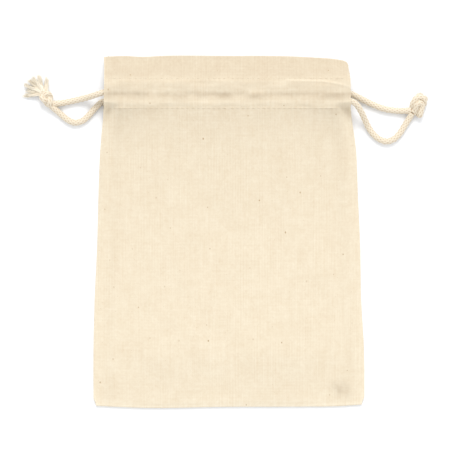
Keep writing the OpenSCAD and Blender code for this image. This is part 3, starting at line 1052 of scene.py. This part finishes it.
def cord_material():
    """Round braid. The yarn attribute holds places across and along each strand, and how deep between
    strands a point lies."""
    n = Nodes("cotton_cord")
    across, along, depth = n.split(n.attribute("yarn").outputs["Vector"])
    twist = n.noise(n.join(n.math("MULTIPLY", across, 9.0), n.math("MULTIPLY", along, 1.4)), 1.0, 3.0)
    patches = n.noise(n.join(n.math("MULTIPLY", across, 0.9), n.math("MULTIPLY", along, 0.7), 2.0), 1.0, 2.0)
    share = n.math("ADD", n.math("MULTIPLY", twist, 0.6), n.math("MULTIPLY", patches, 0.4))
    yarn = n.mix(share, (0.68, 0.585, 0.44, 1), (0.84, 0.772, 0.64, 1))
    # Painted shade: the crevices between strands are drawn dark brown.
    crevice_shade = n.math("MULTIPLY", depth, 1.0, clamp=True)
    colour = n.mix(crevice_shade, yarn, (0.44, 0.26, 0.12, 1))
    return n.finish(colour, n.bump(twist, 0.0001, 0.6), 0.9, 0.2)


def thread_material(name, dark, light, roughness):
    """Fine threads, whose tint attribute picks each one's colour between dark and light."""
    n = Nodes(name)
    tint = n.attribute("tint").outputs["Fac"]
    place = n.tree.nodes.new("ShaderNodeTexCoord").outputs["Object"]
    lines = n.noise(place, 4000.0, 2.0)
    return n.finish(n.mix(tint, dark, light), n.bump(lines, 0.00003, 0.4), roughness, 0.15)


def plain(name, colour, roughness):
    n = Nodes(name)
    n.put(n.shader, "Base Color", colour)
    n.put(n.shader, "Roughness", roughness)
    return n.material


cloth_look = cloth_material()
cord_look = cord_material()
fibre_look = thread_material("cotton_fibre", (0.805, 0.71, 0.56, 1), (0.895, 0.84, 0.72, 1), 0.95)
sewing_look = thread_material("sewing_thread", (0.67, 0.575, 0.43, 1), (0.74, 0.66, 0.52, 1), 0.85)


# ------------------------ painting and placing the pieces


def follows_casing(piece):
    """Bakes the piece's placement into its mesh."""
    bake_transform(piece)


def follows_body(piece):
    """Bakes the piece's placement into its mesh."""
    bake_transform(piece)


def paint(piece, material):
    piece.data.materials.append(material)


for name, piece in sack_cloth.items():
    side = SIDES["left" if "left" in name else "right"]
    paint(piece, cloth_look)
    if "body" in name:
        follows_body(piece)
    else:
        follows_casing(piece)
for name, piece in thread.items():
    side = SIDES["left" if "left" in name else "right"]
    paint(piece, sewing_look)
    if "seam" in name or "overlock" in name:
        follows_body(piece)
    else:
        follows_casing(piece)

cord_pieces = {
    "left": [(drawcord["left"], cord_look, "cotton_cord"), (left_knot, cord_look, "cotton_cord"),
             (frayed_ends, fibre_look, "cotton_yarn_ends")],
    "right": [(drawcord["right"], cord_look, "cotton_cord"), (right_knot, cord_look, "cotton_cord"),
              (trimmed_ends, cord_look, "cotton_yarn_ends"), (trimmed_tips, fibre_look, "cotton_yarn_ends")],
}
for word, found in cord_pieces.items():
    for piece, material, slot in found:
        paint(piece, material)
        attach(piece, f"{word}_cord")


# ------------------------ hiding the parts that the pieces replace

for word in SIDES:
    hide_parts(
        "front_panel", "back_panel", "bottom_fold", f"{word}_seam_allowance"
    )
    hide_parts("front_casing")
    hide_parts("back_casing")
    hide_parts(f"front_{word}_side_hem")
    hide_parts(f"back_{word}_side_hem")
    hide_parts("front_upper_stitching")
    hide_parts("front_lower_stitching")
    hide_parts("back_upper_stitching")
    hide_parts("back_lower_stitching")
    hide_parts(f"{word}_seam_stitching")
    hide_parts(f"{word}_overlock")
    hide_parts(f"{word}_drawcord")
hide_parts("left_knot")
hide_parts("right_knot")
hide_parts("left_frayed_ends")
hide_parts("right_trimmed_ends")


# ------------------------ stitch rows of each face, listed and left unused


for word, side in SIDES.items():
    for face in ("front", "back"):
        rows = [f"{face}_upper_stitches_{word}", f"{face}_lower_stitches_{word}"]
        if face == "back":
            rows += [f"under_upper_stitches_{word}", f"under_lower_stitches_{word}"]


# ------------------------ floor and light

FLOOR_HALF = 1.6
floor_mesh = bpy.data.meshes.new("floor")
floor_corners = [(x * FLOOR_HALF, y * FLOOR_HALF, 0) for x, y in ((-1, -1), (1, -1), (1, 1), (-1, 1))]
floor_mesh.from_pydata(floor_corners, [], [(0, 1, 2, 3)])
floor = bpy.data.objects.new("floor", floor_mesh)
floor.location = (0, 0, -0.0001)
bpy.context.scene.collection.objects.link(floor)
paint(floor, plain("white_paper", (0.925, 0.938, 0.962, 1), 0.9))

# A broad window beyond the mouth of the sack, and an even white room
light_data = bpy.data.lights.new("window", "AREA")
light_data.shape = "DISK"
light_data.size = 1.3
light_data.energy = 47.0
light = bpy.data.objects.new("window", light_data)
light.location = (0.1, 2.05, 2.2)
light.rotation_mode = "QUATERNION"
light.rotation_quaternion = light.location.to_track_quat("Z", "Y")
bpy.context.scene.collection.objects.link(light)

world = bpy.data.worlds.new("room")
bpy.context.scene.world = world
world.use_nodes = True
world.node_tree.nodes["Background"].inputs["Color"].default_value = (0.99, 0.995, 1.0, 1)
world.node_tree.nodes["Background"].inputs["Strength"].default_value = 0.985
bpy.context.scene.view_settings.view_transform = "Standard"
